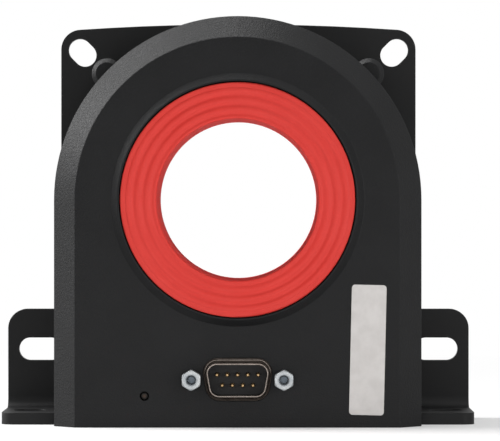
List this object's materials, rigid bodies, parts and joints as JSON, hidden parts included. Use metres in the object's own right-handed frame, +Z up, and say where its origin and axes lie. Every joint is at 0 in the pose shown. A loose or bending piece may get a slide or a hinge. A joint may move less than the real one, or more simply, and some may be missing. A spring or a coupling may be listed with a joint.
{
  "type": "fluxgate current transducer",
  "caption": "Black moulded fluxgate current transducer with a round red-lined aperture, side ears and feet, and a nine-way connector.",
  "frame": {"origin": "centre of the aperture at mid depth of the housing", "axes": "+X to the right seen from the front, +Y from the front face to the mounting plate, +Z up"},
  "size_m": [0.13, 0.048, 0.1116],
  "materials": {
    "housing_black": "fine spark-textured black moulding",
    "ring_red": "satin red moulding",
    "connector_metal": "tin-plated drawn steel",
    "insulator_black": "black glass-filled insulator",
    "contact_gold": "gold-plated contact",
    "screw_zinc": "bright zinc plating",
    "screw_black": "black oxide steel",
    "light_clear": "clear light guide",
    "lamp_amber": "amber resin",
    "label_silver": "satin silver foil",
    "board_green": "green solder mask",
    "case_grey": "grey core case",
    "winding_copper": "enamelled copper wire",
    "core_alloy": "wound alloy tape",
    "chip_black": "moulded package",
    "capacitor_metal": "aluminium can"
  },
  "bodies": {
    "root": {"aperture_sleeve": "ring_red", "back_plate": "housing_black", "burden_resistor": "chip_black", "compensation_winding": "winding_copper", "connector_body": "insulator_black", "connector_bracket_left": "screw_zinc", "connector_bracket_right": "screw_zinc", "connector_insulator": "insulator_black", "connector_shell": "connector_metal", "contact_pin_1": "contact_gold", "contact_pin_2": "contact_gold", "contact_pin_3": "contact_gold", "contact_pin_4": "contact_gold", "contact_pin_5": "contact_gold", "contact_pin_6": "contact_gold", "contact_pin_7": "contact_gold", "contact_pin_8": "contact_gold", "contact_pin_9": "contact_gold", "control_board": "board_green", "core_case_front": "case_grey", "core_case_rear": "case_grey", "cover_screw_lower_left": "screw_black", "cover_screw_lower_right": "screw_black", "cover_screw_upper_left": "screw_black", "cover_screw_upper_right": "screw_black", "driver_chip": "chip_black", "excitation_winding_front": "winding_copper", "excitation_winding_rear": "winding_copper", "filter_capacitor_1": "capacitor_metal", "filter_capacitor_2": "capacitor_metal", "fluxgate_core_front": "core_alloy", "fluxgate_core_rear": "core_alloy", "front_cover": "housing_black", "jack_screw_left": "screw_zinc", "jack_screw_right": "screw_zinc", "label_plate": "label_silver", "light_pipe": "light_clear", "logic_chip": "chip_black", "main_core": "core_alloy", "power_transistor_left": "chip_black", "power_transistor_right": "chip_black", "status_lamp": "lamp_amber", "winding_header": "chip_black"}
  },
  "joints": []
}
